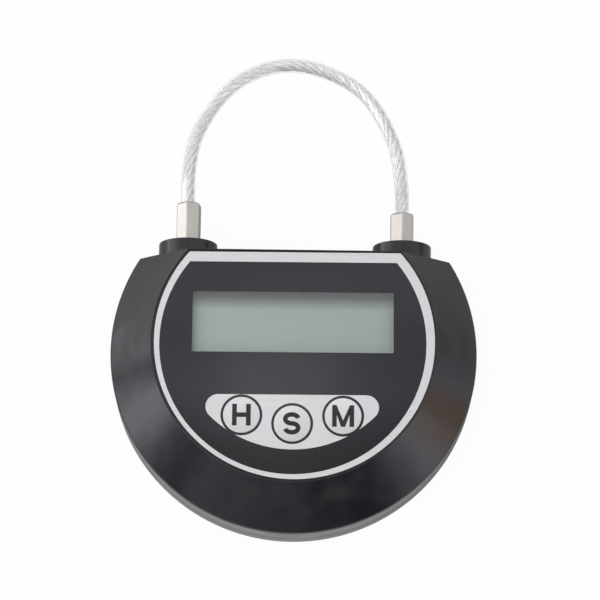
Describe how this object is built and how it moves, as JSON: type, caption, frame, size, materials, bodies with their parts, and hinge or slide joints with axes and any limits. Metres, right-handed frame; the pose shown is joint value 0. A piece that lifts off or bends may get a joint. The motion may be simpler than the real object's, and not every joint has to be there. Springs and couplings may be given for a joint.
{
  "type": "timed padlock",
  "caption": "Round timed padlock with a flat top, a display, push keys and a flexible wire-rope shackle that plugs into it.",
  "frame": {"origin": "on the flat back face, on the axis of the round case", "axes": "+Z out of the display, +Y from the keys to the shackle, +X to the right of the display"},
  "size_m": [0.088, 0.1185, 0.0216],
  "materials": {
    "black_shell": "moulded black ABS, glossy",
    "overlay_print": "clear film, printed black and brushed silver on its back",
    "key_silver": "fine silver paint on moulded caps",
    "clear_lens": "clear moulded window",
    "lcd_glass": "polished display glass",
    "lcd_film": "grey-green film",
    "tinned_leads": "tinned spring steel",
    "circuit_board": "green solder mask on laminate",
    "zinc_screws": "zinc plate",
    "chip_black": "moulded epoxy",
    "plunger_white": "acetal",
    "crystal_can": "drawn steel can",
    "cell_jacket": "plain printed jacket",
    "ferrule_nickel": "bright nickel plate",
    "pin_steel": "ground steel",
    "rope_steel": "galvanised wire rope in a clear coat",
    "gear_brass": "machined brass",
    "gearbox_plastic": "moulded nylon"
  },
  "bodies": {
    "case": {"anchor_bush": "pin_steel", "anchor_clip": "zinc_screws", "anchor_ferrule": "ferrule_nickel", "anchor_pin": "pin_steel", "anchor_washer": "zinc_screws", "back_shell": "black_shell", "battery_cell_1": "cell_jacket", "battery_cell_2": "cell_jacket", "board_screws": "zinc_screws", "bolt_guide": "plunger_white", "bridge_spring": "tinned_leads", "bridge_strip": "tinned_leads", "capacitor": "chip_black", "case_screws": "zinc_screws", "chassis_plate": "pin_steel", "crystal": "crystal_can", "display_lens": "clear_lens", "driver_chip": "chip_black", "front_overlay": "overlay_print", "front_shell": "black_shell", "key_switch_h": "chip_black", "key_switch_m": "chip_black", "key_switch_s": "chip_black", "lcd_front_glass": "lcd_glass", "lcd_pins": "tinned_leads", "lcd_polarizer": "lcd_film", "lcd_rear_glass": "lcd_glass", "lcd_reflector": "lcd_film", "main_board": "circuit_board", "minus_spring": "tinned_leads", "minus_terminal": "tinned_leads", "motor_can": "crystal_can", "motor_clamp": "pin_steel", "motor_gearbox": "gearbox_plastic", "plus_terminal": "tinned_leads", "shackle_rope": "rope_steel", "socket_bush": "pin_steel", "timer_chip": "chip_black"},
    "plug": {"plug_ferrule": "ferrule_nickel", "plug_pin": "pin_steel"},
    "key_h": {"key_cap_h": "key_silver", "switch_plunger_h": "plunger_white"},
    "key_s": {"key_cap_s": "key_silver", "switch_plunger_s": "plunger_white"},
    "key_m": {"key_cap_m": "key_silver", "switch_plunger_m": "plunger_white"},
    "drive": {"output_shaft": "pin_steel", "drive_pinion": "gear_brass"},
    "bolt": {"lock_bolt": "pin_steel"},
    "door": {"battery_door": "black_shell"}
  },
  "joints": [
    {"name": "plug_pull", "type": "slide", "parent": "case", "child": "plug", "axis": [0, 1, 0], "range_m": [0, 0.018], "deforming": ["shackle_rope"]},
    {"name": "key_h_press", "type": "slide", "parent": "case", "child": "key_h", "axis": [0, 0, -1], "range_m": [0, 0.0005], "stiffness_N_per_m": 900, "springref_m": -0.0004},
    {"name": "key_s_press", "type": "slide", "parent": "case", "child": "key_s", "axis": [0, 0, -1], "range_m": [0, 0.0005], "stiffness_N_per_m": 900, "springref_m": -0.0004},
    {"name": "key_m_press", "type": "slide", "parent": "case", "child": "key_m", "axis": [0, 0, -1], "range_m": [0, 0.0005], "stiffness_N_per_m": 900, "springref_m": -0.0004},
    {"name": "pinion_turn", "type": "hinge", "parent": "case", "child": "drive", "pos_m": [-0.0095, 0.0157, 0.0095], "axis": [0, -1, 0], "range_deg": [0, 61.9]},
    {"name": "bolt_slide", "type": "slide", "parent": "case", "child": "bolt", "axis": [-1, 0, 0], "range_m": [0, 0.0027]},
    {"name": "door_swing", "type": "hinge", "parent": "case", "child": "door", "pos_m": [0, -0.01098, 0.0006], "axis": [1, 0, 0], "range_deg": [0, 85]}
  ],
  "couplings": [
    {"joint": "pinion_turn", "follows": "bolt_slide", "rad_per_m": 400}
  ]
}
